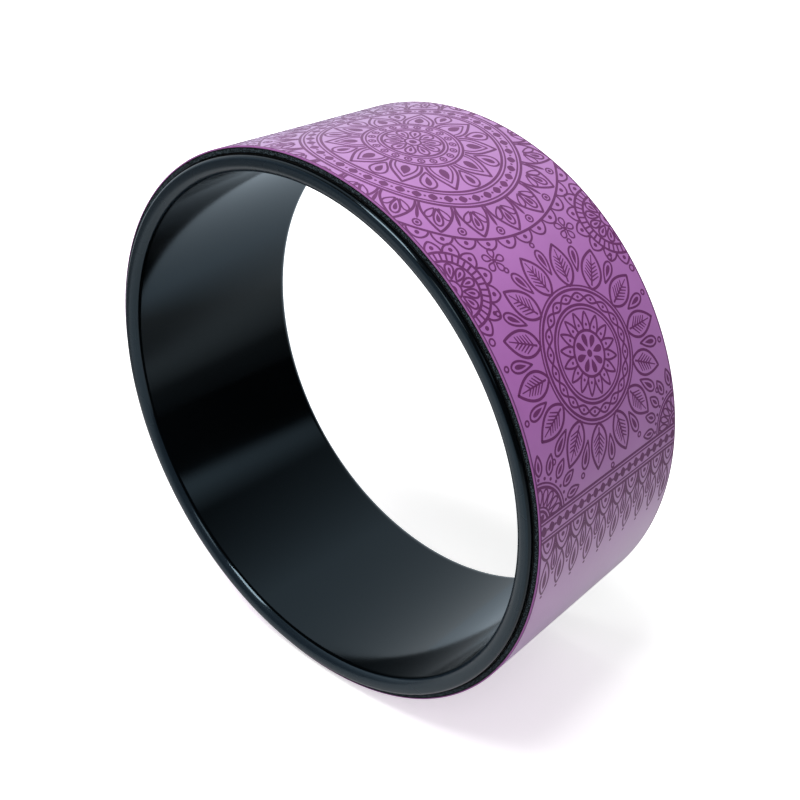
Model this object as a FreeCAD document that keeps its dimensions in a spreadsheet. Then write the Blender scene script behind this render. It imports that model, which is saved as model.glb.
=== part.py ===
import FreeCAD, Part
import Sketcher
import os

# A yoga wheel: a rigid plastic hoop with a rubber strip and a thin top sheet glued round it.
# The wheel's axis is Y, its centre is the origin and Z is up.

doc = FreeCAD.newDocument("yoga_wheel")

# Driving dimensions, in millimetres, and in degrees for the angle
sizes = doc.addObject("Spreadsheet::Sheet", "sizes")
driving_dimensions = [
    ("hoop_width", "132", "hoop from end face to end face"),
    ("bore_diameter", "305", "inner wall of the hoop"),
    ("hoop_wall", "9.5", "thickness of the hoop"),
    ("shoulder_radius", "2.5", "rounding of the hoop's outer edges"),
    ("end_land", "1", "flat ring on the hoop's end face between its roundings"),
    ("pad_recess", "3.5", "edge of the strip behind the hoop's end face"),
    ("glue_thickness", "0.1", "contact adhesive on the hoop"),
    ("strip_clearance", "0.25", "between the hoop's adhesive and the strip"),
    ("rubber_thickness", "2.85", "cellular rubber strip"),
    ("bond_thickness", "0.1", "bonding film between rubber and top sheet"),
    ("sheet_thickness", "0.7", "top sheet"),
    ("sheet_edge_radius", "0.3", "rounding of the top sheet's outer edges"),
    ("seam_gap", "0.4", "butt joint between the strip's two ends"),
    ("seam_recess", "0.2", "glue in the joint below the tread"),
    ("seam_angle", "260", "joint's place, from X towards Z"),
]
for row, (alias, number, meaning) in enumerate(driving_dimensions, start=1):
    sizes.set("A%d" % row, meaning)
    sizes.set("B%d" % row, number)
    sizes.setAlias("B%d" % row, alias)
doc.recompute()

# Radii of the layers, from the bore outwards, and the widths and the lip that follow from the hoop
hoop_inner = "sizes.bore_diameter / 2"
hoop_outer = hoop_inner + " + sizes.hoop_wall"
glue_outer = hoop_outer + " + sizes.glue_thickness"
rubber_inner = glue_outer + " + sizes.strip_clearance"
rubber_outer = rubber_inner + " + sizes.rubber_thickness"
bond_outer = rubber_outer + " + sizes.bond_thickness"
sheet_outer = bond_outer + " + sizes.sheet_thickness"
pad_width = "sizes.hoop_width - 2 * sizes.pad_recess"
land_width = "sizes.hoop_width - 2 * max(sizes.shoulder_radius; sizes.pad_recess)"
lip_radius = "sizes.hoop_wall - sizes.shoulder_radius - sizes.end_land"
strip_turn = "270 - sizes.seam_angle"

axis_of_wheel = FreeCAD.Vector(0, 1, 0)
sketch_start = (FreeCAD.Vector(10, -5, 0), FreeCAD.Vector(20, 5, 0))


def origin_plane(body, role):
    return next(plane for plane in body.Origin.OriginFeatures if plane.Role == role)


def rectangle_sketch(body, name, distances):
    # A rectangle on the body's XY plane, centred on the X axis, held by the named distances
    sketch = body.newObject("Sketcher::SketchObject", name)
    sketch.AttachmentSupport = [(origin_plane(body, "XY_Plane"), "")]
    sketch.MapMode = "FlatFace"
    low, high = sketch_start
    corners = [
        FreeCAD.Vector(low.x, low.y, 0),
        FreeCAD.Vector(high.x, low.y, 0),
        FreeCAD.Vector(high.x, high.y, 0),
        FreeCAD.Vector(low.x, high.y, 0),
    ]
    bottom, right, top, left = range(4)
    origin, x_axis = -1, -1
    start, end = 1, 2
    for side in range(4):
        sketch.addGeometry(Part.LineSegment(corners[side], corners[(side + 1) % 4]), False)
    for side in range(4):
        sketch.addConstraint(Sketcher.Constraint("Coincident", side, end, (side + 1) % 4, start))
    for side in (bottom, top):
        sketch.addConstraint(Sketcher.Constraint("Horizontal", side))
    sketch.addConstraint(Sketcher.Constraint("Vertical", right))
    sketch.addConstraint(Sketcher.Constraint("Symmetric", left, start, left, end, x_axis))
    measured = {
        "near_side": ("DistanceX", origin, start, bottom, start, low.x),
        "far_side": ("DistanceX", origin, start, bottom, end, high.x),
        "width": ("DistanceY", right, start, right, end, high.y - low.y),
    }
    for label, constraint in measured.items():
        index = sketch.addConstraint(Sketcher.Constraint(*constraint))
        sketch.renameConstraint(index, label)
        sketch.setExpression("Constraints." + label, distances[label])
    return sketch


def new_body(label):
    # The joint is modelled straight below the axis, and every piece is then turned with it to its place
    body = doc.addObject("PartDesign::Body", label)
    body.Label = label
    body.Placement = FreeCAD.Placement(FreeCAD.Vector(0, 0, 0), FreeCAD.Rotation(axis_of_wheel, 1))
    body.setExpression("Placement.Rotation.Angle", strip_turn)
    return body


def ring(body, inner, outer, width):
    # A rectangular section turned once round the wheel's axis
    section = rectangle_sketch(
        body, body.Name + "_section", {"near_side": inner, "far_side": outer, "width": width}
    )
    turned = body.newObject("PartDesign::Revolution", body.Name + "_ring")
    turned.Profile = section
    turned.ReferenceAxis = (section, ["V_Axis"])
    turned.Angle = 360
    body.Tip = turned
    doc.recompute()
    return turned


def rim_edges(feature, outer_wall):
    # The circles at the two ends of the ring's outer or inner wall
    circles = {
        "Edge%d" % number: edge.Curve.Radius
        for number, edge in enumerate(feature.Shape.Edges, start=1)
        if isinstance(edge.Curve, Part.Circle)
    }
    by_radius = sorted(circles, key=circles.get)
    return by_radius[-2:] if outer_wall else by_radius[:2]


def round_rims(body, base, name, outer_wall, radius):
    rounding = body.newObject("PartDesign::Fillet", body.Name + "_" + name)
    rounding.Base = (base, rim_edges(base, outer_wall))
    rounding.setExpression("Radius", radius)
    body.Tip = rounding
    doc.recompute()
    return rounding


def cut_seam(body, base):
    # Opens a ring below the axis, where the two ends of the strip meet
    slot = rectangle_sketch(
        body,
        body.Name + "_slot",
        {"near_side": "-sizes.seam_gap / 2", "far_side": "sizes.seam_gap / 2", "width": "sizes.hoop_width"},
    )
    seam = body.newObject("PartDesign::Pocket", body.Name + "_seam")
    seam.Profile = slot
    seam.Type = "ThroughAll"
    seam.Midplane = False
    seam.Reversed = False
    body.Tip = seam
    doc.recompute()
    removed = base.Shape.Volume - seam.Shape.Volume
    if removed <= 0 or seam.Shape.CenterOfGravity.z <= 0:
        raise RuntimeError(body.Label + ": the joint isn't cut below the axis")
    return seam


# Rigid hoop with rounded ends: shoulders outside, lips inside and a narrow flat ring between them
hoop = new_body("hoop")
hoop_ring = ring(hoop, hoop_inner, hoop_outer, "sizes.hoop_width")
hoop_lips = round_rims(hoop, hoop_ring, "lips", False, lip_radius)
round_rims(hoop, hoop_lips, "shoulders", True, "sizes.shoulder_radius")

# Contact adhesive on the straight land of the hoop, between its shoulders
hoop_adhesive = new_body("hoop_adhesive")
ring(hoop_adhesive, hoop_outer, glue_outer, land_width)

# Cellular rubber strip, wrapped once round the hoop with its ends butted
rubber_pad = new_body("rubber_pad")
cut_seam(rubber_pad, ring(rubber_pad, rubber_inner, rubber_outer, pad_width))

# Bonding film between the rubber and the top sheet, cut with them
sheet_adhesive = new_body("sheet_adhesive")
cut_seam(sheet_adhesive, ring(sheet_adhesive, rubber_outer, bond_outer, pad_width))

# Top sheet, with its outer edges slightly rounded
top_sheet = new_body("top_sheet")
sheet_ring = ring(top_sheet, bond_outer, sheet_outer, pad_width)
cut_seam(top_sheet, round_rims(top_sheet, sheet_ring, "edges", True, "sizes.sheet_edge_radius"))

# Glue that fills the butt joint from the strip's inner face up to just below the tread
seam_glue = new_body("seam_glue")
glue_outline = rectangle_sketch(
    seam_glue,
    "seam_glue_outline",
    {"near_side": "-sizes.seam_gap / 2", "far_side": "sizes.seam_gap / 2", "width": pad_width},
)
glue_outline.setExpression("AttachmentOffset.Base.z", "-(%s)" % rubber_inner)
glue_strip = seam_glue.newObject("PartDesign::Pad", "seam_glue_strip")
glue_strip.Profile = glue_outline
glue_strip.Reversed = True
glue_strip.setExpression("Length", "%s - (%s) - sizes.seam_recess" % (sheet_outer, rubber_inner))
seam_glue.Tip = glue_strip

doc.recompute()

sub_parts = [hoop, hoop_adhesive, rubber_pad, sheet_adhesive, top_sheet, seam_glue]

for item in doc.Objects:
    if "Invalid" in item.State or "Error" in item.State:
        raise RuntimeError("%s failed: %s" % (item.Label, item.State))
for sub_part in sub_parts:
    shape = sub_part.Shape
    if shape.isNull() or not shape.isValid() or len(shape.Solids) != 1:
        raise RuntimeError(sub_part.Label + " has no single valid solid")

os.makedirs("parts", exist_ok=True)
for sub_part in sub_parts:
    sub_part.Shape.exportStep("parts/%s.step" % sub_part.Label)
    box = sub_part.Shape.optimalBoundingBox(False, False)
    print(
        "%s: %.1f x %.1f x %.1f mm, volume %.0f mm3"
        % (sub_part.Label, box.XLength, box.YLength, box.ZLength, sub_part.Shape.Volume)
    )
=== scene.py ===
import bmesh
import bpy
import math
from mathutils import Matrix, Vector


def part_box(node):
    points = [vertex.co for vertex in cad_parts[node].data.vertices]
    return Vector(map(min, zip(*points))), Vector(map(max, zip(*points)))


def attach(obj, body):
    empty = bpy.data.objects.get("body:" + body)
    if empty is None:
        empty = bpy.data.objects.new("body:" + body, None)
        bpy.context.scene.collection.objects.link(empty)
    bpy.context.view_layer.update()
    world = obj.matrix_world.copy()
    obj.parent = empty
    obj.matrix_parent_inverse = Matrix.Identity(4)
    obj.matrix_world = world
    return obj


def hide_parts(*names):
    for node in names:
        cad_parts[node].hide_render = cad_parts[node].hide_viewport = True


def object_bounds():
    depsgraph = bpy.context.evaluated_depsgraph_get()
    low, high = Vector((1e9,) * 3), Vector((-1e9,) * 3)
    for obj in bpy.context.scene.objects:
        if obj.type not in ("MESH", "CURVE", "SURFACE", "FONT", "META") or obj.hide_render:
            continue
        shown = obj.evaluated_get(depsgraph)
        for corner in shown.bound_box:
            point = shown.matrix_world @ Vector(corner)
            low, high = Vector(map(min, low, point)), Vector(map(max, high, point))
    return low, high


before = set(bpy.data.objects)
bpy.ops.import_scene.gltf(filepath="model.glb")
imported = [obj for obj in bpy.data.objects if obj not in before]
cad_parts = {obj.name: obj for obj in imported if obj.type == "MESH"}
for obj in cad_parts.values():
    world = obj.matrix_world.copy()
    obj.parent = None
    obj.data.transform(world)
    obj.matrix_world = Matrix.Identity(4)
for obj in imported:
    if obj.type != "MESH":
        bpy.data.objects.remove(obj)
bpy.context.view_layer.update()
scene = bpy.context.scene
scene.view_settings.view_transform = "Standard"
mm = 0.001
print("frame loaded:", ", ".join(sorted(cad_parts)))


def ringOf(node):
    # inner radius, outer radius and half width of a ring about the Y axis
    points = [vertex.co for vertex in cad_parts[node].data.vertices]
    radii = [math.hypot(point.x, point.z) for point in points]
    return min(radii), max(radii), max(point.y for point in points)


hoopInner, hoopOuter, hoopHalf = ringOf("hoop")
rubberInner, rubberOuter, rubberHalf = ringOf("rubber_pad")
sheetInner, sheetOuter, sheetHalf = ringOf("top_sheet")
seamLow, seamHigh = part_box("seam_glue")
seamMiddle = (seamLow + seamHigh) / 2
seamAngle = math.atan2(seamMiddle.z, seamMiddle.x)
seamGap = 0.4 * mm
hoopMiddle = (hoopInner + hoopOuter) / 2
rubberMiddle = (rubberInner + rubberOuter) / 2
sheetMiddle = (sheetInner + sheetOuter) / 2


# node helpers, for geometry and shader trees alike
def addNode(tree, kind, inputs=None, **settings):
    node = tree.nodes.new(kind)
    for key, value in settings.items():
        setattr(node, key, value)
    for key, value in (inputs or {}).items():
        if isinstance(value, bpy.types.NodeSocket):
            tree.links.new(value, node.inputs[key])
        else:
            node.inputs[key].default_value = value
    return node


def calc(tree, operation, *values):
    return addNode(tree, "ShaderNodeMath", dict(enumerate(values)), operation=operation).outputs[0]


def newTree(name, sockets):
    tree = bpy.data.node_groups.new(name, "GeometryNodeTree")
    tree.interface.new_socket("Geometry", in_out="INPUT", socket_type="NodeSocketGeometry")
    for label, kind in sockets.items():
        tree.interface.new_socket(label, in_out="INPUT", socket_type="NodeSocket" + kind)
    tree.interface.new_socket("Geometry", in_out="OUTPUT", socket_type="NodeSocketGeometry")
    return tree, addNode(tree, "NodeGroupInput").outputs, addNode(tree, "NodeGroupOutput").inputs


def meshFromNodes(name, drawing, tree, values):
    holder = bpy.data.objects.new(name, drawing)
    scene.collection.objects.link(holder)
    modifier = holder.modifiers.new(tree.name, "NODES")
    modifier.node_group = tree
    for item in tree.interface.items_tree:
        if item.in_out == "INPUT" and item.name in values:
            modifier[item.identifier] = values[item.name]
    mesh = bpy.data.meshes.new_from_object(holder.evaluated_get(bpy.context.evaluated_depsgraph_get()))
    mesh.name = name
    bpy.data.objects.remove(holder)
    return mesh


def drawStrokes(name, strokes, scale):
    # each stroke is (points, closed), a point is (x, y, pen width)
    drawing = bpy.data.curves.new(name, "CURVE")
    drawing.dimensions = "3D"
    for points, closed in strokes:
        spline = drawing.splines.new("POLY")
        spline.points.add(len(points) - 1)
        for place, (x, y, pen) in zip(spline.points, points):
            place.co = (x * scale, y * scale, 0, 1)
            place.radius = pen
        spline.use_cyclic_u = closed
    return drawing


def addPiece(name, mesh, slot, *nodes):
    piece = bpy.data.objects.new(name, mesh)
    scene.collection.objects.link(piece)
    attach(piece, "root")
    if nodes:
        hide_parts(*nodes)
    return piece


# materials; a noise is given as scale, detail and roughness, a range as its ends and then the values there
def newMaterial(name, **values):
    material = bpy.data.materials.new(name)
    material.use_nodes = True
    tree = material.node_tree
    tree.nodes.clear()
    shader = addNode(tree, "ShaderNodeBsdfPrincipled", values)
    addNode(tree, "ShaderNodeOutputMaterial", {"Surface": shader.outputs[0]})
    place = addNode(tree, "ShaderNodeTexCoord").outputs["Object"]
    return material, tree, shader.inputs, place


def noise(tree, place, scale, detail, roughness):
    values = {"Vector": place, "Scale": scale, "Detail": detail, "Roughness": roughness}
    return addNode(tree, "ShaderNodeTexNoise", values).outputs["Fac"]


def spread(tree, value, low, high, atLow=0.0, atHigh=1.0):
    inputs = {0: value, 1: low, 2: high, 3: atLow, 4: atHigh}
    return addNode(tree, "ShaderNodeMapRange", inputs).outputs[0]


def mixColours(tree, factor, first, second):
    return addNode(tree, "ShaderNodeMix", {0: factor, 6: first, 7: second}, data_type="RGBA").outputs[2]


def bump(tree, height, distance, before=None):
    inputs = {"Height": height, "Distance": distance, "Strength": 1.0}
    if before:
        inputs["Normal"] = before
    return addNode(tree, "ShaderNodeBump", inputs).outputs[0]


def aroundAxis(tree, place):
    # distance from the wheel's axis, and distance from its middle plane
    parts = addNode(tree, "ShaderNodeSeparateXYZ", {0: place}).outputs
    squares = calc(tree, "ADD", calc(tree, "POWER", parts[0], 2.0), calc(tree, "POWER", parts[2], 2.0))
    return calc(tree, "SQRT", squares), calc(tree, "ABSOLUTE", parts[1])


plastic = {
    "gloss": {"IOR": 1.4, "Specular Tint": (0.62, 0.85, 1.0, 1)},
    "wall": (0.0009, 0.0013, 0.0017, 1),
    "face": (0.0080, 0.0135, 0.0195, 1),
    # painted shade: the dark line at the inner edge of the matte end
    "paintedShadeLine": (0.0008, 0.001, 0.0012, 1),
    "dust": (0.055, 0.066, 0.076, 1),
    "roughness": (0.09, 0.26),  # wall and end face
    "faceAcross": (hoopHalf - 4.2 * mm, hoopHalf - 3.9 * mm),
    "matteAcross": (hoopHalf - 3.3 * mm, hoopHalf - 2.5 * mm),
    "insideRim": (hoopOuter - 0.95 * mm, hoopOuter - 0.7 * mm, 1.0, 0.0),
    "shadeLineFade": (0.0, 0.35 * mm, 1.0, 0.0),
    "speckNoise": (900.0, 3.0, 0.7),
    "speckRange": (0.66, 0.76),
    "speckShare": 0.35,
    "smearNoise": (14.0, 3.0, 0.55),
    "smearRange": (0.35, 0.7, -0.02, 0.04),
    "turnedNoise": (3200.0, 3.0, 0.6),
    "turnedDepth": 0.006 * mm,
    "peelNoise": (1300.0, 2.0, 0.5),
    "peelDepth": 0.009 * mm,
}


def makePlastic():
    # glossy wall and shoulder, and between them the matte end, with painted shade: a dark line along the
    # end's inner edge
    material, tree, shader, place = newMaterial("blackHoopPlastic", **plastic["gloss"])
    radius, across = aroundAxis(tree, place)
    inside = spread(tree, radius, *plastic["insideRim"])
    face = calc(tree, "MULTIPLY", inside, spread(tree, across, *plastic["faceAcross"]))
    # painted shade: a dark line where the matte end starts, fading out over a third of a millimetre
    fromShadeLine = calc(tree, "ABSOLUTE", calc(tree, "SUBTRACT", across, plastic["faceAcross"][0]))
    paintedShadeLine = calc(tree, "MULTIPLY", inside, spread(tree, fromShadeLine, *plastic["shadeLineFade"]))
    speck = spread(tree, noise(tree, place, *plastic["speckNoise"]), *plastic["speckRange"])
    speckOnFace = calc(tree, "MULTIPLY", calc(tree, "MULTIPLY", speck, face), plastic["speckShare"])
    clean = mixColours(tree, face, plastic["wall"], plastic["face"])
    dusty = mixColours(tree, speckOnFace, clean, plastic["dust"])
    tree.links.new(mixColours(tree, paintedShadeLine, dusty, plastic["paintedShadeLine"]), shader["Base Color"])
    matte = calc(tree, "MULTIPLY", inside, spread(tree, across, *plastic["matteAcross"]))
    rough = spread(tree, matte, 0.0, 1.0, *plastic["roughness"])
    smear = spread(tree, noise(tree, place, *plastic["smearNoise"]), *plastic["smearRange"])
    tree.links.new(calc(tree, "ADD", rough, smear), shader["Roughness"])
    alongRadius = addNode(tree, "ShaderNodeCombineXYZ", {0: radius}).outputs[0]
    turned = calc(tree, "MULTIPLY", noise(tree, alongRadius, *plastic["turnedNoise"]), face)
    peel = bump(tree, noise(tree, place, *plastic["peelNoise"]), plastic["peelDepth"])
    tree.links.new(bump(tree, turned, plastic["turnedDepth"], peel), shader["Normal"])
    return material


rubberLook = {
    "gloss": {"Roughness": 0.85, "Specular IOR Level": 0.06},
    "dark": (0.0016, 0.0024, 0.003, 1),
    "grain": (0.058, 0.080, 0.094, 1),
    "edgeShadeFrom": 0.65 * mm,
    "edgeShadeTo": 0.3 * mm,
    "grainRange": (0.2, 0.38),
    "grainNoise": (3200.0, 3.0, 0.7),
    "grainDepth": 0.12 * mm,
    "cellScale": 1700.0,
    "cellDepth": 0.15 * mm,
}


def makeRubber():
    # pale grain on dark cells; towards the strip's inner and outer faces the grain gives way to the dark
    # colour, painted shade along the joins with the hoop and the sheet
    material, tree, shader, place = newMaterial("blackCellRubber", **rubberLook["gloss"])
    cellInputs = {"Vector": place, "Scale": rubberLook["cellScale"]}
    cells = addNode(tree, "ShaderNodeTexVoronoi", cellInputs).outputs["Distance"]
    grain = noise(tree, place, *rubberLook["grainNoise"])
    light = spread(tree, calc(tree, "MULTIPLY", cells, grain), *rubberLook["grainRange"])
    half = (rubberOuter - rubberInner) / 2
    fromMiddle = calc(tree, "ABSOLUTE", calc(tree, "SUBTRACT", aroundAxis(tree, place)[0], rubberMiddle))
    # painted shade: dark bands along both faces of the strip
    grainy = spread(tree, fromMiddle, half - rubberLook["edgeShadeFrom"], half - rubberLook["edgeShadeTo"], 1.0, 0.0)
    shown = calc(tree, "MULTIPLY", light, grainy)
    tree.links.new(mixColours(tree, shown, rubberLook["dark"], rubberLook["grain"]), shader["Base Color"])
    cellBump = bump(tree, cells, rubberLook["cellDepth"])
    tree.links.new(bump(tree, grain, rubberLook["grainDepth"], cellBump), shader["Normal"])
    return material


skin = {
    "sheetGloss": {
        "IOR": 1.6, "Sheen Weight": 0.5, "Sheen Roughness": 0.45, "Sheen Tint": (0.88, 0.88, 1.0, 1),
        "Coat Weight": 1.0, "Coat Roughness": 0.35,
    },
    "sheet": (0.38, 0.105, 0.41, 1),
    "sheetPale": (0.415, 0.12, 0.45, 1),
    "inkGloss": {"IOR": 1.4, "Sheen Weight": 0.1, "Sheen Roughness": 0.45},
    "ink": (0.125, 0.019, 0.112, 1),
    "inkPale": (0.146, 0.024, 0.132, 1),
    "mottleNoise": (45.0, 4.0, 0.6),
    "mottleRange": (0.3, 0.7),
    "grainNoise": (1500.0, 3.0, 0.6),
    "grainDepth": 0.03 * mm,
    "roughness": (0.3, 0.7, 0.35, 0.46),
}


def makeSkin(name, part):
    # the sheet or its ink, slightly mottled and finely grained
    material, tree, shader, place = newMaterial(name, **skin[part + "Gloss"])
    mottle = spread(tree, noise(tree, place, *skin["mottleNoise"]), *skin["mottleRange"])
    tree.links.new(mixColours(tree, mottle, skin[part], skin[part + "Pale"]), shader["Base Color"])
    grain = noise(tree, place, *skin["grainNoise"])
    tree.links.new(spread(tree, grain, *skin["roughness"]), shader["Roughness"])
    tree.links.new(bump(tree, grain, skin["grainDepth"]), shader["Normal"])
    return material


cutEdge = {
    "gloss": {"Roughness": 0.6, "Specular IOR Level": 0.15},
    "edge": (0.31, 0.112, 0.32, 1),
    # painted shade: the dark line beside the trimmed edge
    "line": (0.14, 0.042, 0.145, 1),
    "trimmedAcross": (sheetHalf - 0.5 * mm, sheetHalf - 0.3 * mm),
}


def makeCutEdge():
    # the sheet's matte trimmed edge, and beside it on the tread a darker line of painted shade
    material, tree, shader, place = newMaterial("purpleCutEdge", **cutEdge["gloss"])
    trimmed = spread(tree, aroundAxis(tree, place)[1], *cutEdge["trimmedAcross"])
    tree.links.new(mixColours(tree, trimmed, cutEdge["line"], cutEdge["edge"]), shader["Base Color"])
    grain = noise(tree, place, *skin["grainNoise"])
    tree.links.new(bump(tree, grain, skin["grainDepth"]), shader["Normal"])
    return material


glueLook = {
    "gloss": {"Roughness": 0.55},
    "dark": (0.003, 0.003, 0.003, 1),
    "pale": (0.012, 0.011, 0.010, 1),
    "cloudNoise": (400.0, 3.0, 0.6),
    "cloudRange": (0.3, 0.7),
    "cloudDepth": 0.05 * mm,
}


def makeGlue():
    material, tree, shader, place = newMaterial("contactAdhesive", **glueLook["gloss"])
    cloud = spread(tree, noise(tree, place, *glueLook["cloudNoise"]), *glueLook["cloudRange"])
    tree.links.new(mixColours(tree, cloud, glueLook["dark"], glueLook["pale"]), shader["Base Color"])
    tree.links.new(bump(tree, cloud, glueLook["cloudDepth"]), shader["Normal"])
    return material


hoopPlastic = makePlastic()
padRubber = makeRubber()
treadSkin = makeSkin("purpleTreadSkin", "sheet")
treadEdge = makeCutEdge()
treadInk = makeSkin("purplePrintInk", "ink")
glue = makeGlue()
for node in ("hoop_adhesive", "sheet_adhesive", "seam_glue"):
    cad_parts[node].data.materials.clear()
    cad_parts[node].data.materials.append(glue)
print("materials made")


# a section turned round the wheel's axis, with grain or another material on its cut edges
def makeSweepTree():
    tree, given, result = newTree("sweepRoundAxis", {
        "Path Radius": "Float", "Start": "Float", "Sweep": "Float", "Segments": "Int", "Closed": "Bool",
        "Edge At": "Float", "Grain Depth": "Float", "Grain Size": "Float", "Grain Slope": "Float",
        "Material": "Material", "Edge Material": "Material",
    })
    path = addNode(tree, "GeometryNodeCurveArc", {
        "Resolution": given["Segments"], "Radius": given["Path Radius"],
        "Start Angle": given["Start"], "Sweep Angle": given["Sweep"],
    })
    joined = addNode(tree, "GeometryNodeSetSplineCyclic", {0: path.outputs[0], "Cyclic": given["Closed"]})
    upright = addNode(tree, "GeometryNodeSetCurveNormal", {0: joined.outputs[0]}, mode="Z_UP")
    body = addNode(tree, "GeometryNodeCurveToMesh", {
        "Curve": upright.outputs[0], "Profile Curve": given["Geometry"], "Fill Caps": True,
    })
    turned = addNode(tree, "GeometryNodeTransform", {0: body.outputs[0], "Rotation": (math.pi / 2, 0, 0)})
    place = addNode(tree, "GeometryNodeInputPosition").outputs[0]
    across = addNode(tree, "ShaderNodeSeparateXYZ", {0: place}).outputs[1]
    onEdge = calc(tree, "GREATER_THAN", calc(tree, "ABSOLUTE", across), given["Edge At"])
    cells = addNode(tree, "ShaderNodeTexVoronoi", {
        "Vector": place, "Scale": calc(tree, "DIVIDE", 1.0, given["Grain Size"]),
    }).outputs["Distance"]
    pits = calc(tree, "SUBTRACT", 1.0, calc(tree, "MULTIPLY", cells, given["Grain Slope"]))
    depth = calc(tree, "MULTIPLY", calc(tree, "MAXIMUM", pits, 0.0), given["Grain Depth"])
    outward = calc(tree, "SIGN", across)
    inward = calc(tree, "MULTIPLY", calc(tree, "MULTIPLY", outward, depth), -1.0)
    offset = addNode(tree, "ShaderNodeCombineXYZ", {1: inward}).outputs[0]
    grainy = addNode(tree, "GeometryNodeSetPosition", {
        "Geometry": turned.outputs[0], "Selection": onEdge, "Offset": offset,
    })
    real = addNode(tree, "GeometryNodeRealizeInstances", {0: grainy.outputs[0]})
    dressed = addNode(tree, "GeometryNodeSetMaterial", {0: real.outputs[0], "Material": given["Material"]})
    edged = addNode(tree, "GeometryNodeSetMaterial", {
        0: dressed.outputs[0], "Selection": onEdge, "Material": given["Edge Material"],
    })
    tree.links.new(edged.outputs[0], result[0])
    return tree


sweepTree = makeSweepTree()


def roundedSection(inner, outer, half, innerRadius, outerRadius, arcSteps, guard):
    # an outline run round anticlockwise, with a guard point beside each rounding to keep the flats flat
    corners = [
        (inner + innerRadius, innerRadius - half, innerRadius, 180),
        (outer - outerRadius, outerRadius - half, outerRadius, 270),
        (outer - outerRadius, half - outerRadius, outerRadius, 0),
        (inner + innerRadius, half - innerRadius, innerRadius, 90),
    ]
    points = []
    for x, y, radius, start in corners:
        for step in range(-1, arcSteps + 2):
            angle = math.radians(start + 90 * min(max(step, 0), arcSteps) / arcSteps)
            past = guard * ((step > arcSteps) - (step < 0))
            points.append((
                x + radius * math.cos(angle) - past * math.sin(angle),
                y + radius * math.sin(angle) + past * math.cos(angle),
                1.0,
            ))
    return points


def sweptMesh(name, section, middle, segments, material, gap=0.0, edge=None):
    # edge says what differs past a distance from the wheel's middle plane: grain, or another material
    noEdge = {"at": 1.0, "depth": 0.0, "size": 1.0, "slope": 1.0, "material": material}
    edge = {**noEdge, **(edge or {})}
    shifted = [(x - middle, y, pen) for x, y, pen in section]
    openAngle = gap / middle
    closed = gap == 0.0
    sweep = 2 * math.pi * (segments - 1) / segments if closed else 2 * math.pi - openAngle
    mesh = meshFromNodes(name, drawStrokes(name + "Section", [(shifted, True)], 1.0), sweepTree, {
        "Path Radius": middle, "Start": seamAngle + openAngle / 2, "Sweep": sweep, "Segments": segments,
        "Closed": closed, "Edge At": edge["at"], "Grain Depth": edge["depth"], "Grain Size": edge["size"],
        "Grain Slope": edge["slope"], "Material": material, "Edge Material": edge["material"],
    })
    mesh.shade_smooth()
    return mesh


hoop = {"lip": 6.0 * mm, "shoulder": 2.5 * mm, "segments": 720, "arcSteps": 14, "guard": 0.3 * mm}
hoopSection = roundedSection(
    hoopInner, hoopOuter, hoopHalf, hoop["lip"], hoop["shoulder"], hoop["arcSteps"], hoop["guard"]
)
hoopMesh = sweptMesh("hoop_shell", hoopSection, hoopMiddle, hoop["segments"], hoopPlastic)
addPiece("hoop_shell", hoopMesh, "hoop_plastic", "hoop")
print("hoop:", len(hoopMesh.polygons), "faces")

rubber = {
    "segments": 2400,
    "edgeRows": 8,
    "edge": {"at": rubberHalf - 0.01 * mm, "depth": 0.28 * mm, "size": 0.95 * mm, "slope": 1.7},
    "sharp": math.radians(50),
}


def rubberSection():
    # a rectangle with rows of points on its two cut edges, for the grain to move
    rows = rubber["edgeRows"]
    thick = rubberOuter - rubberInner
    front = [(rubberInner + thick * row / rows, -rubberHalf, 1.0) for row in range(rows + 1)]
    rear = [(x, rubberHalf, 1.0) for x, y, pen in reversed(front)]
    return front + rear


rubberMesh = sweptMesh(
    "rubber_strip", rubberSection(), rubberMiddle, rubber["segments"], padRubber, seamGap, rubber["edge"]
)
rubberMesh.set_sharp_from_angle(angle=rubber["sharp"])
rubberPiece = addPiece("rubber_strip", rubberMesh, "pad_rubber", "rubber_pad")
print("rubber strip:", len(rubberMesh.polygons), "faces")

sheet = {
    "segments": 1440,
    "edge": 0.3 * mm,
    "back": 0.05 * mm,
    "arcSteps": 4,
    "guard": 0.15 * mm,
    "lineAt": sheetHalf - 1.25 * mm,
    "sharp": math.radians(50),
}


def sheetSection():
    # two more points on the tread, where the cut edge's own material and its painted shade line start
    points = roundedSection(
        sheetInner, sheetOuter, sheetHalf, sheet["back"], sheet["edge"], sheet["arcSteps"], sheet["guard"]
    )
    half = len(points) // 2
    onTread = [(sheetOuter, -sheet["lineAt"], 1.0), (sheetOuter, sheet["lineAt"], 1.0)]
    return points[:half] + onTread + points[half:]


sheetMesh = sweptMesh(
    "tread_sheet", sheetSection(), sheetMiddle, sheet["segments"], treadSkin, seamGap,
    {"at": sheet["lineAt"], "material": treadEdge},
)
sheetMesh.set_sharp_from_angle(angle=sheet["sharp"])
sheetPiece = addPiece("tread_sheet", sheetMesh, "tread_skin", "top_sheet")
print("tread sheet:", len(sheetMesh.polygons), "faces")


# strokes of the print, in millimetres, with each motif's foot towards the origin and its tip along +Y;
# petals and arches take where they start and end, their width, two numbers for their shape, and a pen
pens = {"bold": 1.45, "middle": 1.15, "fine": 0.95, "tick": 1.1}
drawn = {
    "step": 1.3,  # between a stroke's points
    "tip": 0.004,  # share of a filled petal's length that is left off at its ends
    "archRise": 0.8,
    "waveSlack": 1.3,
    "veinsFrom": 0.14,
    "veinsReach": 0.64,
    "veinShortens": 0.5,
    "veinSlant": 0.95,
    "veinTaper": 0.6,
    "midrib": 1.2,
}


def evenSteps(length, least):
    # an even number, so that a stroke has a point at its middle
    return 2 * max(least // 2, round(length / drawn["step"] / 2))


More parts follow.
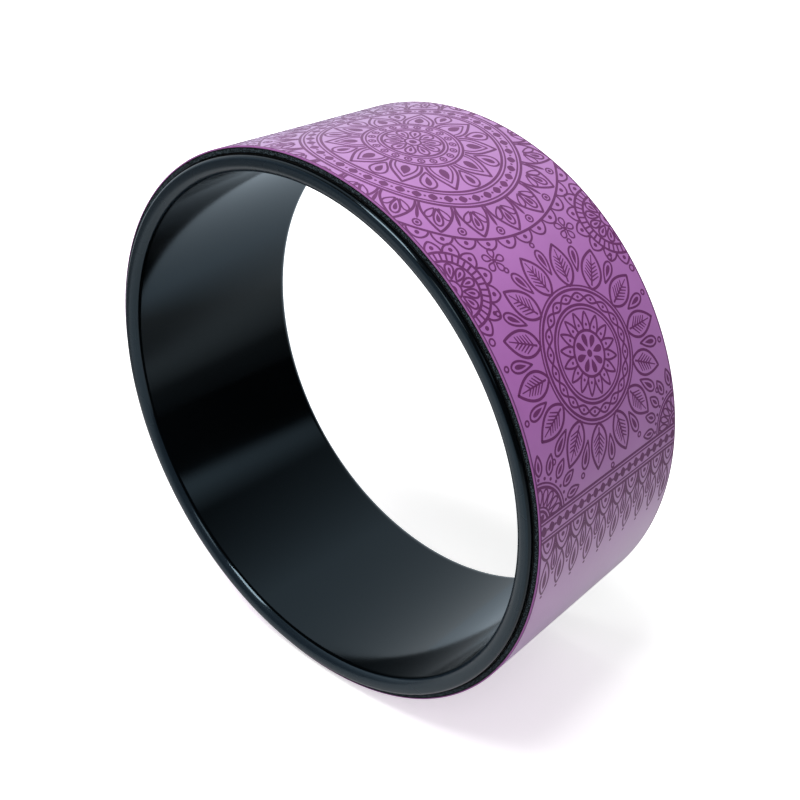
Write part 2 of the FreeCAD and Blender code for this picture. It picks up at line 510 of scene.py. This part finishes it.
def arcLine(radius, start, end, pen):
    steps = evenSteps(radius * math.radians(end - start), least=6)
    angles = [math.radians(90 + start + (end - start) * step / steps) for step in range(steps + 1)]
    return [(radius * math.cos(angle), radius * math.sin(angle), pen) for angle in angles], False


def ringLine(radius, pen, y=0.0):
    steps = evenSteps(2 * math.pi * radius, least=12)
    angles = [2 * math.pi * step / steps for step in range(steps)]
    return [(radius * math.cos(angle), y + radius * math.sin(angle), pen) for angle in angles], True


def disc(radius, y=0.0):
    return ringLine(radius / 2, radius, y)


def petalHalf(share, width, sharpNear, sharpFar):
    # half width of a petal at a share of its length
    def bulge(part):
        return part ** ((1 + sharpNear) / 2) * (1 - part) ** ((1 + sharpFar) / 2)
    return width / 2 * bulge(share) / bulge((1 + sharpNear) / (2 + sharpNear + sharpFar))


def petal(near, far, width, sharpNear, sharpFar, pen):
    steps = evenSteps(2 * (far - near) + width, least=16)
    points = []
    for step in range(steps):
        turn = 2 * math.pi * step / steps
        share = min(max((1 - math.cos(turn)) / 2, 0.0), 1.0)
        side = 1 if turn < math.pi else -1
        points.append((side * petalHalf(share, width, sharpNear, sharpFar), near + (far - near) * share, pen))
    return points, True


def solid(near, far, width, sharpNear, sharpFar):
    # a filled petal, as one stroke whose pen follows the petal's width
    steps = evenSteps(far - near, least=10)
    points = []
    for step in range(steps + 1):
        share = (1 - math.cos(math.pi * step / steps)) / 2
        share = min(max(share, drawn["tip"]), 1 - drawn["tip"])
        points.append((0.0, near + (far - near) * share, 2 * petalHalf(share, width, sharpNear, sharpFar)))
    return points, False


def arch(near, far, width, point, bulge, pen):
    # an open arch that stands on its ring; the higher its point number, the more pointed its top
    steps = evenSteps(2 * (far - near) + width, least=16)
    points = []
    for step in range(steps + 1):
        turn = math.pi * step / steps
        share = max(math.sin(turn), 0.0) ** drawn["archRise"]
        narrowing = max(math.cos(math.pi / 2 * share), 0.0) ** point
        half = width / 2 * narrowing * (1 + bulge * math.sin(math.pi * share))
        side = -1 if turn < math.pi / 2 else 1
        points.append((side * half, near + (far - near) * share, pen))
    return points, False


def line(x0, y0, x1, y1, pen0, pen1):
    steps = evenSteps(math.hypot(x1 - x0, y1 - y0), least=2)
    shares = [step / steps for step in range(steps + 1)]
    return [(x0 + (x1 - x0) * s, y0 + (y1 - y0) * s, pen0 + (pen1 - pen0) * s) for s in shares], False


def wavyRing(radius, swing, waves, phase, pen):
    steps = evenSteps(2 * math.pi * radius * drawn["waveSlack"], least=48)
    points = []
    for step in range(steps):
        angle = 2 * math.pi * step / steps
        reach = radius + swing * math.cos(waves * angle + phase)
        points.append((reach * math.cos(angle), reach * math.sin(angle), pen))
    return points, True


def tilted(strokes, degrees, y=0.0):
    # strokes leant over about a point on their own axis
    turn = Matrix.Rotation(math.radians(-degrees), 2)
    leant = []
    for points, closed in strokes:
        moved = [(turn @ Vector((px, py - y)), pen) for px, py, pen in points]
        leant.append(([(spot.x, spot.y + y, pen) for spot, pen in moved], closed))
    return leant


def veins(near, far, width, pairs, pen):
    # a midrib with slanting side veins that shorten towards the tip
    thin = pen * drawn["veinTaper"]
    strokes = [line(0, near, 0, far, pen * drawn["midrib"], thin)]
    for pair in range(pairs):
        foot = near + (far - near) * (drawn["veinsFrom"] + drawn["veinsReach"] * pair / pairs)
        reach = width / 2 * (1 - drawn["veinShortens"] * pair / pairs)
        for side in (-1, 1):
            strokes.append(line(0, foot, side * reach, foot + reach * drawn["veinSlant"], pen, thin))
    return strokes


# how a motif repeats: all round a centre, in a fan about +Y, or in a row along X
def allRound(count, *strokes, shift=0.0):
    step = 360 / count
    return {"count": count, "first": shift * step, "step": step, "pitch": 0.0, "strokes": strokes}


def fanned(count, step, *strokes):
    return {"count": count, "first": -step * (count - 1) / 2, "step": step, "pitch": 0.0, "strokes": strokes}


def inRow(count, pitch, *strokes):
    return {"count": count, "first": 0.0, "step": 0.0, "pitch": pitch, "strokes": strokes}


def once(*strokes):
    return allRound(1, *strokes)


def mainRosette():
    bold, middle, fine = pens["bold"], pens["middle"], pens["fine"]
    leaning = [petal(61, 69.5, 3.6, 1, 0, fine)]
    sidePetals = tilted(leaning, 36, 59) + tilted(leaning, -36, 59)
    return [
        once(disc(2.1), ringLine(4.2, middle), ringLine(16.2, bold), ringLine(18.2, fine)),
        allRound(10, petal(5.2, 14.8, 5.4, 1, 0, middle), solid(7.4, 12.4, 1.7, 1, 0)),
        allRound(20, ringLine(1.75, fine, 21.2), disc(0.75, 21.2)),
        once(ringLine(24.2, fine), ringLine(26.2, bold)),
        allRound(10, arch(26.2, 45.0, 15.0, 0.9, 0.16, bold), arch(26.2, 40.2, 10.8, 0.9, 0.16, fine)),
        allRound(10, solid(28.6, 37.4, 5.0, 0.3, 1)),
        allRound(10, petal(32.0, 45.6, 8.6, 1.2, 0.2, middle), solid(36.0, 43.4, 3.4, 1.0, 0.2), shift=0.5),
        once(ringLine(47.0, bold), ringLine(49.0, fine)),
        allRound(40, solid(49.9, 54.7, 5.0, 0.9, 0.9)),
        allRound(40, disc(0.7, 52.3), shift=0.5),
        once(ringLine(55.6, fine), ringLine(57.6, bold)),
        allRound(
            20, arch(57.6, 76.4, 16.6, 0.75, 0.1, bold), petal(61, 72.6, 4.8, 1, 0, middle), *sidePetals
        ),
        allRound(20, solid(64.4, 70.2, 2.2, 1, 0)),
        allRound(20, ringLine(2.2, fine, 74.0), disc(1.0, 74.0), solid(60.0, 71.0, 1.9, 1, 0.2), shift=0.5),
        once(ringLine(78.2, bold)),
        allRound(40, arch(78.2, 84.4, 11.4, 0.5, 0.0, middle), disc(1.25, 80.9)),
    ]


def sideRosette():
    bold, middle, fine = pens["bold"], pens["middle"], pens["fine"]
    return [
        once(disc(1.9), ringLine(11.4, bold), ringLine(22.4, fine), ringLine(24.4, bold)),
        allRound(8, solid(3.0, 10.0, 3.6, 1, 0)),
        allRound(16, arch(11.4, 20.8, 5.0, 0.7, 0.1, middle), disc(0.8, 14.4)),
        once(wavyRing(28.4, 2.1, 10, 0.0, middle), wavyRing(28.4, 2.1, 10, math.pi, middle)),
        allRound(20, disc(0.85, 28.4)),
        once(ringLine(32.4, bold), ringLine(34.4, fine)),
        allRound(14, petal(34.4, 57.4, 13.0, 0.6, 1.0, bold), *veins(36.5, 54.5, 9.4, 5, fine)),
        allRound(14, petal(42.4, 56.4, 5.6, 1.2, 0.1, middle), solid(46.4, 54.2, 2.4, 1, 0), shift=0.5),
        allRound(14, ringLine(1.3, fine, 59.6), shift=0.5),
    ]


def edgeRosette():
    bold, middle, tick = pens["bold"], pens["middle"], pens["tick"]
    return [
        once(disc(2.2), ringLine(4.7, middle), ringLine(15.2, bold), ringLine(20.2, bold)),
        allRound(12, petal(5.6, 14.0, 4.6, 1, 0, middle), solid(7.8, 12.0, 1.5, 1, 0)),
        allRound(36, line(0, 15.9, 0, 19.5, tick, tick)),
        allRound(14, arch(20.2, 26.6, 8.8, 0.6, 0.05, middle), disc(1.2, 22.9)),
    ]


def cornerFan():
    bold, middle, fine = pens["bold"], pens["middle"], pens["fine"]
    arcs = [arcLine(6.0, -45, 45, bold), arcLine(8.0, -45, 45, fine), arcLine(17.6, -45, 45, bold)]
    return [
        once(solid(0.6, 5.0, 3.0, 0.4, 0.4), *arcs, arcLine(19.6, -45, 45, fine)),
        fanned(5, 18, petal(8.6, 16.6, 3.4, 1, 0, fine)),
        fanned(7, 12.6, disc(0.9, 21.6)),
        fanned(5, 18, petal(23.2, 33.0, 5.0, 0.4, 1.0, middle), solid(25.0, 30.4, 1.8, 0.4, 0.8)),
    ]


def fringe():
    # a straight border across the strip, with pendants that hang from its scallops
    bold, middle, fine = pens["bold"], pens["middle"], pens["fine"]
    reach = sheetHalf / mm
    count = 10
    pitch = 2 * reach / count
    bars = ((0, bold), (2, fine), (10, fine), (12, bold))
    across = [line(-reach, y, reach, y, pen, pen) for y, pen in bars]
    return [
        once(*across),
        inRow(2 * count, pitch / 2, solid(3.2, 8.8, 4.6, 0.9, 0.9)),
        inRow(2 * count + 1, pitch / 2, disc(0.75, 6.0)),
        inRow(count, pitch, arch(12, 23.6, 12.2, 0.55, 0.0, bold), arch(12, 19.6, 7.6, 0.55, 0.0, fine)),
        inRow(
            count, pitch, disc(1.3, 15.0), petal(24.6, 45.6, 6.6, 1.0, 0.6, middle),
            solid(30.0, 42.0, 2.6, 1.0, 0.4),
        ),
        inRow(count, pitch, disc(0.9, 47.8)),
        inRow(
            count - 1, pitch, petal(17.6, 33.0, 4.2, 1.2, 0.2, middle), solid(23.0, 31.0, 1.6, 1, 0),
            disc(0.8, 35.2),
        ),
    ]


def gapFlower():
    return [allRound(5, petal(1.5, 6.6, 3.6, 1, 0.2, pens["fine"])), once(disc(1.2))]


def edgeBead():
    return [once(ringLine(1.7, pens["fine"]))]


ornament = {
    "middleAngle": math.radians(80),
    "above": 0.05 * mm,
    "below": 0.02 * mm,
    "margin": 0.35 * mm,
    "weld": 0.001 * mm,
    "sharp": math.radians(40),
    "sideAt": 146.0,
    "edgeAt": 90.0,
    "fringeAt": 208.0,
    "flowerAt": (85.5, 29.0),
    "beadAt": (119.0, 58.8),
}


# strokes repeated round a centre or in a row, given a flat pen and laid on the tread
def makeInkTree():
    tree, given, result = newTree("inkOnTread", {
        "Count": "Int", "First Angle": "Float", "Angle Step": "Float", "Row Pitch": "Float", "Turn": "Float",
        "Along": "Float", "Across": "Float", "Pen": "Float", "Above": "Float", "Below": "Float",
        "Tread Radius": "Float", "Middle Angle": "Float", "Material": "Material",
    })
    index = addNode(tree, "GeometryNodeInputIndex").outputs[0]
    angle = calc(tree, "MULTIPLY_ADD", index, given["Angle Step"], given["First Angle"])
    half = calc(tree, "DIVIDE", calc(tree, "SUBTRACT", given["Count"], 1.0), 2.0)
    shift = calc(tree, "MULTIPLY", calc(tree, "SUBTRACT", index, half), given["Row Pitch"])
    spots = addNode(tree, "GeometryNodePoints", {
        "Count": given["Count"], "Position": addNode(tree, "ShaderNodeCombineXYZ", {0: shift}).outputs[0],
    })
    facing = addNode(tree, "FunctionNodeAxisAngleToRotation", {"Axis": (0, 0, 1), "Angle": angle})
    copies = addNode(tree, "GeometryNodeInstanceOnPoints", {
        "Points": spots.outputs[0], "Instance": given["Geometry"], "Rotation": facing.outputs[0],
    })
    strokes = addNode(tree, "GeometryNodeRealizeInstances", {0: copies.outputs[0]})
    turn = addNode(tree, "ShaderNodeCombineXYZ", {2: given["Turn"]}).outputs[0]
    place = addNode(tree, "ShaderNodeCombineXYZ", {0: given["Along"], 1: given["Across"]}).outputs[0]
    placed = addNode(tree, "GeometryNodeTransform", {
        0: strokes.outputs[0], "Translation": place, "Rotation": turn,
    })
    upright = addNode(tree, "GeometryNodeSetCurveNormal", {0: placed.outputs[0]}, mode="Z_UP")
    nib = addNode(tree, "GeometryNodeCurvePrimitiveQuadrilateral", {
        "Width": given["Pen"], "Height": given["Pen"],
    })
    width = addNode(tree, "GeometryNodeInputRadius").outputs[0]
    inked = addNode(tree, "GeometryNodeCurveToMesh", {
        "Curve": upright.outputs[0], "Profile Curve": nib.outputs[0], "Scale": width, "Fill Caps": True,
    })
    spot = addNode(tree, "GeometryNodeInputPosition").outputs[0]
    flat = addNode(tree, "ShaderNodeSeparateXYZ", {0: spot}).outputs
    bent = calc(tree, "SUBTRACT", given["Middle Angle"], calc(tree, "DIVIDE", flat[0], given["Tread Radius"]))
    upper = calc(tree, "GREATER_THAN", flat[2], 0.0)
    thick = calc(tree, "ADD", given["Above"], given["Below"])
    lift = calc(tree, "SUBTRACT", calc(tree, "MULTIPLY", upper, thick), given["Below"])
    reach = calc(tree, "ADD", given["Tread Radius"], lift)
    laid = addNode(tree, "ShaderNodeCombineXYZ", {
        0: calc(tree, "MULTIPLY", reach, calc(tree, "COSINE", bent)),
        1: flat[1],
        2: calc(tree, "MULTIPLY", reach, calc(tree, "SINE", bent)),
    })
    wrapped = addNode(tree, "GeometryNodeSetPosition", {
        "Geometry": inked.outputs[0], "Position": laid.outputs[0],
    })
    real = addNode(tree, "GeometryNodeRealizeInstances", {0: wrapped.outputs[0]})
    dressed = addNode(tree, "GeometryNodeSetMaterial", {0: real.outputs[0], "Material": given["Material"]})
    tree.links.new(dressed.outputs[0], result[0])
    return tree


inkTree = makeInkTree()
inkMesh = bmesh.new()


def layInk(name, repeats, along, across=0.0, turn=0.0):
    for repeat in repeats:
        mesh = meshFromNodes(name, drawStrokes(name, repeat["strokes"], mm), inkTree, {
            "Count": repeat["count"], "First Angle": math.radians(repeat["first"]),
            "Angle Step": math.radians(repeat["step"]), "Row Pitch": repeat["pitch"] * mm,
            "Turn": math.radians(turn), "Along": along * mm, "Across": across * mm, "Pen": mm,
            "Above": ornament["above"], "Below": ornament["below"], "Tread Radius": sheetOuter,
            "Middle Angle": ornament["middleAngle"], "Material": treadInk,
        })
        inkMesh.from_mesh(mesh)
        bpy.data.meshes.remove(mesh)


# the fringes hang away from the print's middle, and a corner's fan opens towards it along the diagonal
layInk("mainRosette", mainRosette(), 0)
for side in (-1, 1):
    layInk("sideRosette", sideRosette(), side * ornament["sideAt"])
    layInk("fringe", fringe(), side * ornament["fringeAt"], 0, -90 * side)
    for edge in (-1, 1):
        rim = edge * sheetHalf / mm
        layInk("edgeRosette", edgeRosette(), side * ornament["edgeAt"], rim)
        layInk("cornerFan", cornerFan(), side * ornament["fringeAt"], rim, 90 + edge * (90 - 45 * side))
        layInk("gapFlower", gapFlower(), side * ornament["flowerAt"][0], edge * ornament["flowerAt"][1])
        layInk("edgeBead", edgeBead(), side * ornament["beadAt"][0], edge * ornament["beadAt"][1])
print("print drawn:", len(inkMesh.faces), "faces")

# trimmed at the sheet's edges, closed there, and freed of faces without area
for side in (-1, 1):
    bmesh.ops.bisect_plane(
        inkMesh, geom=inkMesh.verts[:] + inkMesh.edges[:] + inkMesh.faces[:], clear_outer=True,
        plane_co=(0, side * (sheetHalf - ornament["margin"]), 0), plane_no=(0, side, 0),
    )
    bmesh.ops.holes_fill(inkMesh, edges=[edge for edge in inkMesh.edges if edge.is_boundary], sides=0)
bmesh.ops.dissolve_degenerate(inkMesh, dist=ornament["weld"], edges=inkMesh.edges[:])
printMesh = bpy.data.meshes.new("tread_print")
inkMesh.to_mesh(printMesh)
inkMesh.free()
printMesh.materials.append(treadInk)
printMesh.shade_smooth()
printMesh.set_sharp_from_angle(angle=ornament["sharp"])
addPiece("tread_print", printMesh, "tread_skin")
print("print trimmed:", len(printMesh.polygons), "faces")


# pale floor, soft light and the camera; bearings are in degrees from +X towards +Y, rises in degrees
black = (0, 0, 0, 1)
white = (1, 1, 1, 1)
stage = {
    "floorHalf": 6.0,
    "roughness": 0.9,
    "colour": (0.8, 0.8, 0.8, 1),
    "shown": (0.97, 0.97, 0.97, 1),
    "glow": (0.4, 0.95, 0.5, 1.0),  # to the camera, by distance
    "leftMirrored": (0.74, 0.88, 1.0, 1),
    "leftBearing": (75.0, 105.0),
    "rightFrom": (0.0, 15.0),
    "rightTo": (70.0, 100.0, 1.0, 0.0),
    "rightAway": (0.2, 0.6, 0.0, 0.85),
    "frontFrom": (-0.1, -0.2),
    "frontBearing": (-138.0, -130.0, 0.9, 0.0),
    "frontAway": (0.38, 0.5),
}


def makeFloor():
    # white to the camera; in the hoop's gloss even and bluish to the left, dim far right and front left
    material, tree, shader, place = newMaterial("paleFloor", Roughness=stage["roughness"])
    path = addNode(tree, "ShaderNodeLightPath").outputs
    parts = addNode(tree, "ShaderNodeSeparateXYZ", {0: place}).outputs
    squares = calc(tree, "ADD", calc(tree, "POWER", parts[0], 2.0), calc(tree, "POWER", parts[1], 2.0))
    away = calc(tree, "SQRT", squares)
    bearing = calc(tree, "DEGREES", calc(tree, "ARCTAN2", parts[1], parts[0]))
    toLeft = spread(tree, bearing, *stage["leftBearing"])
    fromRight = spread(tree, bearing, *stage["rightFrom"])
    toRight = calc(tree, "MULTIPLY", fromRight, spread(tree, bearing, *stage["rightTo"]))
    farRight = calc(tree, "MULTIPLY", toRight, spread(tree, away, *stage["rightAway"]))
    atFront = spread(tree, parts[1], *stage["frontFrom"])
    frontLeft = calc(tree, "MULTIPLY", atFront, spread(tree, bearing, *stage["frontBearing"]))
    farFront = calc(tree, "MULTIPLY", frontLeft, spread(tree, away, *stage["frontAway"]))
    dim = calc(tree, "MAXIMUM", calc(tree, "ADD", farRight, farFront), toLeft)
    mirrored = mixColours(tree, dim, stage["colour"], black)
    unseen = mixColours(tree, path["Is Glossy Ray"], stage["colour"], mirrored)
    tree.links.new(mixColours(tree, path["Is Camera Ray"], unseen, stage["shown"]), shader["Base Color"])
    glossy = calc(tree, "MULTIPLY", path["Is Glossy Ray"], toLeft)
    shown = calc(tree, "MULTIPLY", path["Is Camera Ray"], spread(tree, away, *stage["glow"]))
    tree.links.new(calc(tree, "ADD", shown, glossy), shader["Emission Strength"])
    glow = mixColours(tree, path["Is Glossy Ray"], white, stage["leftMirrored"])
    tree.links.new(glow, shader["Emission Color"])
    half = stage["floorHalf"]
    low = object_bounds()[0].z
    corners = [(-half, -half, low), (half, -half, low), (half, half, low), (-half, half, low)]
    mesh = bpy.data.meshes.new("floor")
    mesh.from_pydata(corners, [], [(0, 1, 2, 3)])
    mesh.materials.append(material)
    floor = bpy.data.objects.new("floor", mesh)
    scene.collection.objects.link(floor)


# what the hoop's gloss mirrors: white behind on the left, dimmer to the right, where there is a bright slit,
# and a dark camera side
room = {
    "ambient": 0.37,
    "tint": (0.84, 0.93, 1.0, 1),
    "sideBearing": (38.0, 102.0, 0.12, 1.0),
    "lowRise": (20.0, 38.0, 0.1, 1.0),
    "lowEnds": (70.0, 100.0),
    "slitFrom": (24.0, 28.5),
    "slitTo": (31.5, 42.0, 1.0, 0.0),
    "slitBearing": (33.0, 56.0, 1.0, 0.25),
    "cameraSide": (-175.0, -140.0, 1.0, 0.04),
    "overhead": (60.0, 75.0, 0.0, 0.3),
}


def makeWorld():
    world = bpy.data.worlds.new("whiteStudio")
    world.use_nodes = True
    tree = world.node_tree
    tree.nodes.clear()
    path = addNode(tree, "ShaderNodeLightPath").outputs
    towards = addNode(tree, "ShaderNodeTexCoord").outputs["Generated"]
    parts = addNode(tree, "ShaderNodeSeparateXYZ", {0: towards}).outputs
    bearing = calc(tree, "DEGREES", calc(tree, "ARCTAN2", parts[1], parts[0]))
    rise = calc(tree, "DEGREES", calc(tree, "ARCSINE", parts[2]))
    side = spread(tree, bearing, *room["sideBearing"])
    low = calc(tree, "MAXIMUM", spread(tree, rise, *room["lowRise"]), spread(tree, bearing, *room["lowEnds"]))
    aboveSlit = spread(tree, rise, *room["slitTo"])
    slit = calc(tree, "MULTIPLY", spread(tree, rise, *room["slitFrom"]), aboveSlit)
    slit = calc(tree, "MULTIPLY", slit, spread(tree, bearing, *room["slitBearing"]))
    behind = calc(tree, "MAXIMUM", calc(tree, "MULTIPLY", side, low), slit)
    cameraSide = spread(tree, bearing, *room["cameraSide"])
    front = calc(tree, "MAXIMUM", cameraSide, spread(tree, rise, *room["overhead"]))
    atFront = calc(tree, "LESS_THAN", parts[1], 0.0)
    mirrored = addNode(tree, "ShaderNodeMix", {0: atFront, 2: behind, 3: front}).outputs[0]
    plain = spread(tree, path["Is Glossy Ray"], 0.0, 1.0, room["ambient"], 0.0)
    glossy = calc(tree, "MULTIPLY", path["Is Glossy Ray"], mirrored)
    clear = calc(tree, "MAXIMUM", path["Is Camera Ray"], path["Is Transmission Ray"])
    strength = calc(tree, "MAXIMUM", clear, calc(tree, "ADD", plain, glossy))
    colour = mixColours(tree, path["Is Glossy Ray"], white, room["tint"])
    back = addNode(tree, "ShaderNodeBackground", {"Color": colour, "Strength": strength})
    addNode(tree, "ShaderNodeOutputWorld", {"Surface": back.outputs[0]})
    scene.world = world


softboxes = {
    "key": {"place": (0.08, -0.5, 1.5), "size": 0.6, "power": 17.2, "mirrored": True},
    "front": {"place": (0.71, -0.79, 1.06), "size": 0.4, "power": 1.7, "mirrored": True},
    "fill": {"place": (-0.85, -0.35, 1.1), "size": 1.2, "power": 9.0, "mirrored": False},
}


def addSoftbox(name):
    softbox = softboxes[name]
    data = bpy.data.lights.new(name, "AREA")
    data.shape = "SQUARE"
    data.size = softbox["size"]
    data.energy = softbox["power"]
    lamp = bpy.data.objects.new(name, data)
    scene.collection.objects.link(lamp)
    lamp.location = softbox["place"]
    lamp.rotation_euler = (-Vector(softbox["place"])).to_track_quat("-Z", "Y").to_euler()
    lamp.visible_glossy = softbox["mirrored"]


makeFloor()
makeWorld()
for name in softboxes:
    addSoftbox(name)

view = {
    "turn": math.radians(42.354),
    "rise": math.radians(29.672),
    "away": 0.624386,
    "aside": 0.0147,
    "above": 0.00041,
    "lens": 46.353,
    "sensor": 36.0,
    "nearest": 0.01,
}


def makeCamera():
    turn, rise = view["turn"], view["rise"]
    back = Vector((math.sin(turn) * math.cos(rise), -math.cos(turn) * math.cos(rise), math.sin(rise)))
    right = Vector((math.cos(turn), math.sin(turn), 0))
    up = back.cross(right)
    data = bpy.data.cameras.new("photoView")
    data.lens = view["lens"]
    data.sensor_width = view["sensor"]
    data.clip_start = view["nearest"]
    camera = bpy.data.objects.new("photoView", data)
    scene.collection.objects.link(camera)
    place = view["aside"] * right + view["above"] * up + view["away"] * back
    turned = Matrix((right, up, back)).transposed().to_4x4()
    camera.matrix_world = Matrix.Translation(place) @ turned
    scene.camera = camera


makeCamera()
print("stage set")
